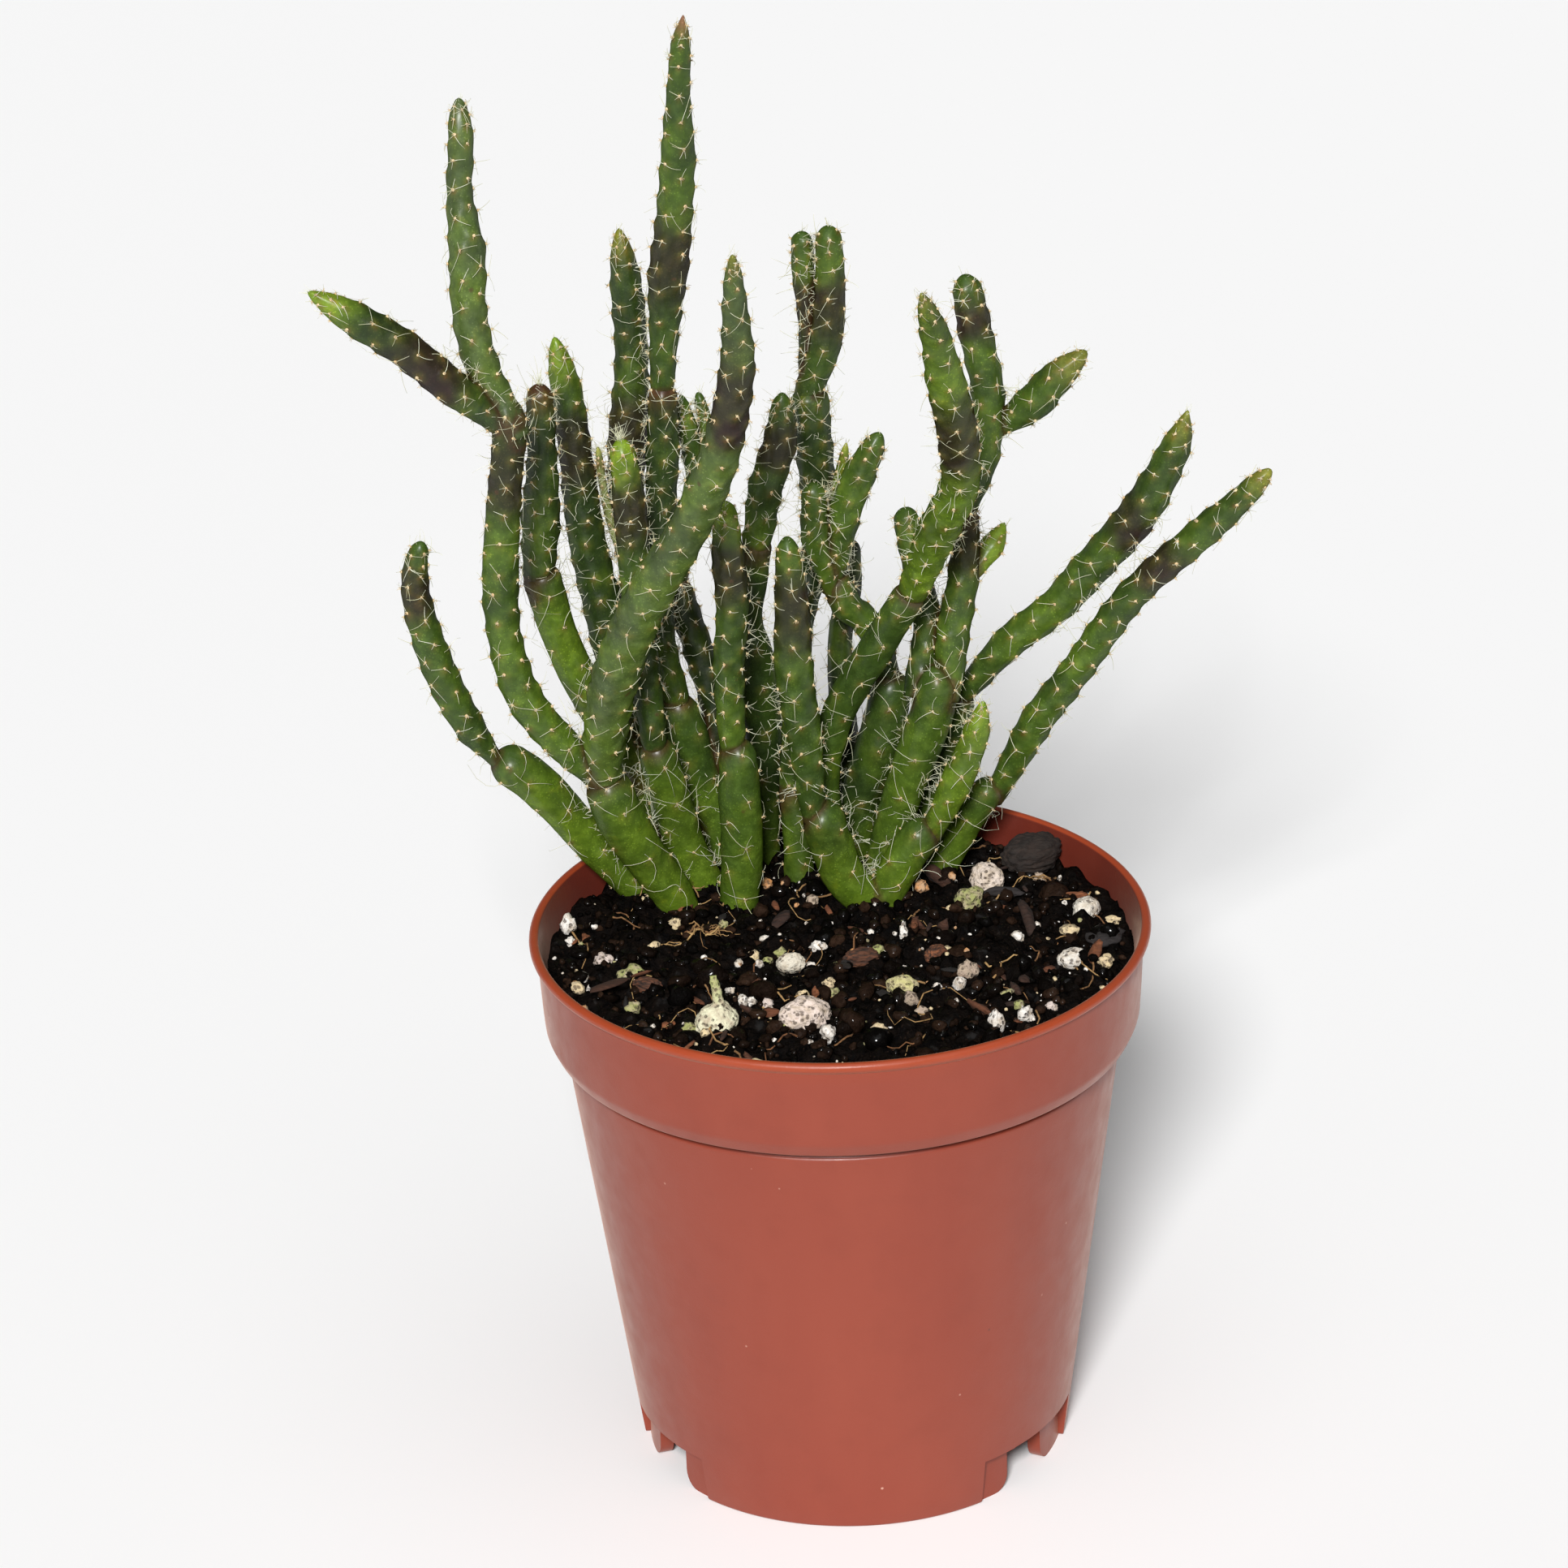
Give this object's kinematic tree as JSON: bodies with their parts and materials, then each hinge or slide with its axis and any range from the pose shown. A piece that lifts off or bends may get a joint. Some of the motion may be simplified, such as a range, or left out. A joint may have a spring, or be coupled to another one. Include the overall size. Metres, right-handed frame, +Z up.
{
  "type": "potted mistletoe cactus",
  "caption": "Young mistletoe cactus, a clump of slender jointed bristly stems rooted in soil in a small round plastic nursery pot with feet.",
  "frame": {"origin": "centre of the base of the part's bounding box, on the surface that the pot's feet stand on", "axes": "+Z up, -Y towards the front of the pot with the bare soil, +X to the right"},
  "size_m": [0.0834, 0.055, 0.1305],
  "materials": {
    "pot_plastic": "terracotta-coloured moulded polypropylene, satin with fine swirl marks",
    "soil_mix": "damp dark peat and bark mix, matte with small wet glints",
    "stem_flesh": "waxy green stem skin with cream areoles, white bristles and purple-brown bands under the tips",
    "perlite": "dry porous white to cream, matte",
    "bark": "dark fibrous bark, matte"
  },
  "bodies": {
    "root": {"pot": "pot_plastic", "soil": "soil_mix", "stem_far_left": "stem_flesh", "stem_front_left": "stem_flesh", "stem_second_left": "stem_flesh", "stem_front_centre": "stem_flesh", "stem_front_right": "stem_flesh", "stem_right_low": "stem_flesh", "stem_right_middle": "stem_flesh", "stem_right_rear": "stem_flesh", "stem_leaning": "stem_flesh", "stem_centre_right": "stem_flesh", "stem_centre": "stem_flesh", "stem_centre_rear": "stem_flesh", "stem_dark_rear": "stem_flesh", "stem_tallest": "stem_flesh", "stem_rear_left": "stem_flesh", "stem_rear_short": "stem_flesh", "perlite_front": "perlite", "perlite_left": "perlite", "perlite_right": "perlite", "perlite_rear": "perlite", "perlite_middle": "perlite", "perlite_inner": "perlite", "perlite_edge": "perlite", "bark_rear": "bark", "bark_centre": "bark", "bark_left": "bark", "bark_right": "bark"}
  },
  "joints": []
}
